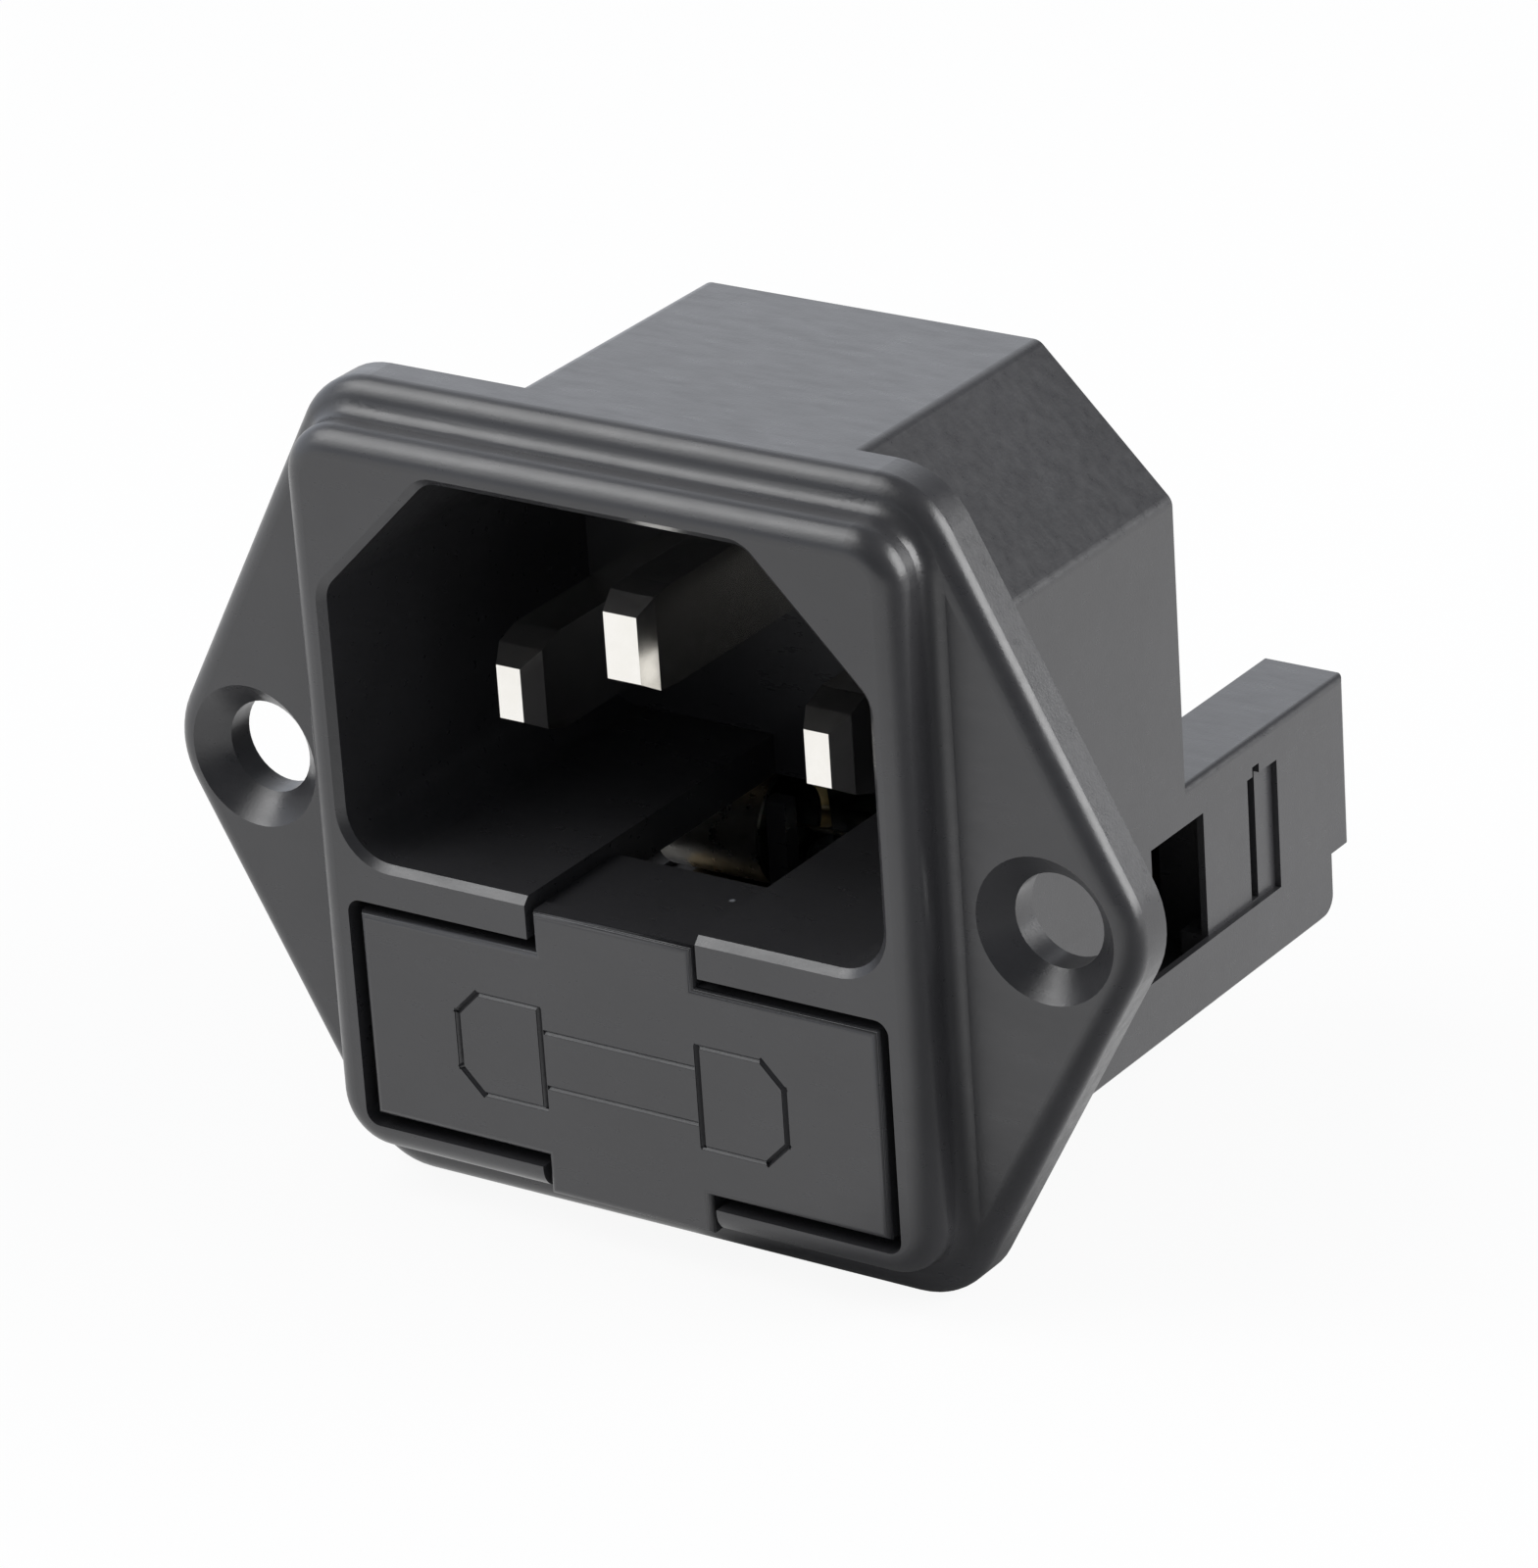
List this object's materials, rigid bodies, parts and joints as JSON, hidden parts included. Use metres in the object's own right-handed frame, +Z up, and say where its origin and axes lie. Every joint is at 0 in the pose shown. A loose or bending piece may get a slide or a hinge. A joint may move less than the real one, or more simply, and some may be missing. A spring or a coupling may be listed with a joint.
{
  "type": "c14 panel inlet socket",
  "caption": "Screw-flange C14 appliance inlet with flat pins and a pull-out fuse drawer below the recess.",
  "frame": {"origin": "midway between the two screw holes, on the flange's rear face that sits on the panel", "axes": "+X to the right seen from the front, +Y rearwards through the panel, +Z up"},
  "size_m": [0.0436, 0.0356, 0.0332],
  "materials": {
    "housing_plastic": "fine matte moulded thermoplastic, charcoal black",
    "drawer_plastic": "fine matte moulded thermoplastic, charcoal black",
    "pin_plating": "nickel-plated brass, satin",
    "tab_plating": "tin-plated brass, stamped",
    "strap_brass": "bare rolled brass",
    "clip_metal": "plated spring bronze",
    "rivet_metal": "brass, upset head",
    "fuse_glass": "clear glass tube",
    "fuse_cap_metal": "nickel-plated drawn brass",
    "fuse_wire_metal": "fine drawn wire"
  },
  "bodies": {
    "inlet": {"housing": "housing_plastic", "line_pin": "pin_plating", "neutral_pin": "pin_plating", "earth_pin": "pin_plating", "line_strap": "strap_brass", "neutral_terminal": "tab_plating", "earth_terminal": "tab_plating", "line_terminal": "tab_plating", "right_fuse_clip": "clip_metal", "left_fuse_clip": "clip_metal", "strap_rivet": "rivet_metal", "terminal_rivet": "rivet_metal"},
    "drawer": {"fuse_drawer": "drawer_plastic", "fuse_glass": "fuse_glass", "fuse_cap_right": "fuse_cap_metal", "fuse_cap_left": "fuse_cap_metal", "fuse_wire": "fuse_wire_metal", "spare_glass": "fuse_glass", "spare_cap_right": "fuse_cap_metal", "spare_cap_left": "fuse_cap_metal", "spare_wire": "fuse_wire_metal"}
  },
  "joints": [
    {"name": "drawer_slide", "type": "slide", "parent": "inlet", "child": "drawer", "axis": [0, -1, 0], "range_m": [0, 0.0215]}
  ]
}
